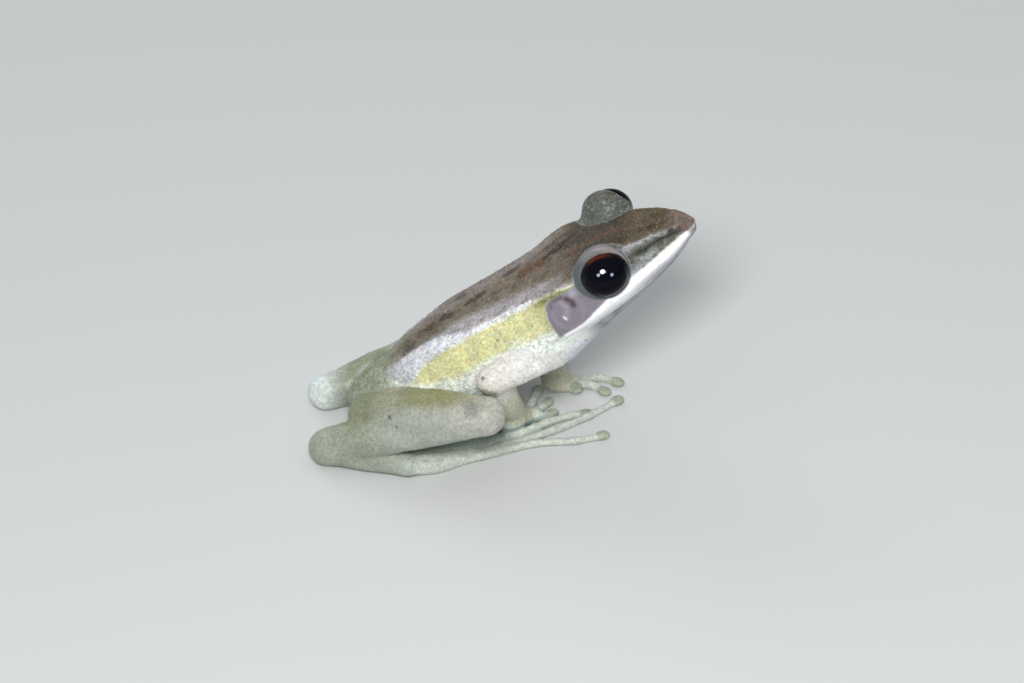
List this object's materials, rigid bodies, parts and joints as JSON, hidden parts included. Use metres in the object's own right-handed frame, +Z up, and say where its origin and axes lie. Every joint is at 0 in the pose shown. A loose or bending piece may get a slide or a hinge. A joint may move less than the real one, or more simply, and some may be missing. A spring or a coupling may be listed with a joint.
{
  "type": "life-size still model of a white-lipped frog",
  "caption": "Slender long-legged frog sitting alert with raised head, big side-facing eyes, round ear drums, pale lips, folded hind legs and long webbed toes with discs.",
  "frame": {"origin": "on the floor, under the middle of the bounding box of the sitting frog", "axes": "+X the way the frog looks, +Y to the frog's left, +Z up"},
  "size_m": [0.0428, 0.033, 0.0262],
  "materials": {
    "skin_back": "moist, finely granular skin",
    "skin_jaw": "moist, smooth pale skin",
    "skin_leg": "moist, finely granular skin",
    "skin_foot": "moist, thin skin",
    "eye": "wet, mirror-smooth, very dark",
    "drum": "thin, taut, moist skin"
  },
  "bodies": {
    "root": {"head": "skin_back", "lower_jaw": "skin_jaw", "torso": "skin_back", "eye_right": "eye", "eye_left": "eye", "tympanum_right": "drum", "tympanum_left": "drum", "upper_arm_right": "skin_leg", "upper_arm_left": "skin_leg", "forearm_right": "skin_leg", "forearm_left": "skin_leg", "hand_right": "skin_foot", "hand_left": "skin_foot", "thigh_right": "skin_leg", "thigh_left": "skin_leg", "shank_right": "skin_leg", "shank_left": "skin_leg", "tarsus_right": "skin_leg", "tarsus_left": "skin_leg", "foot_right": "skin_foot", "foot_left": "skin_foot"}
  },
  "joints": []
}
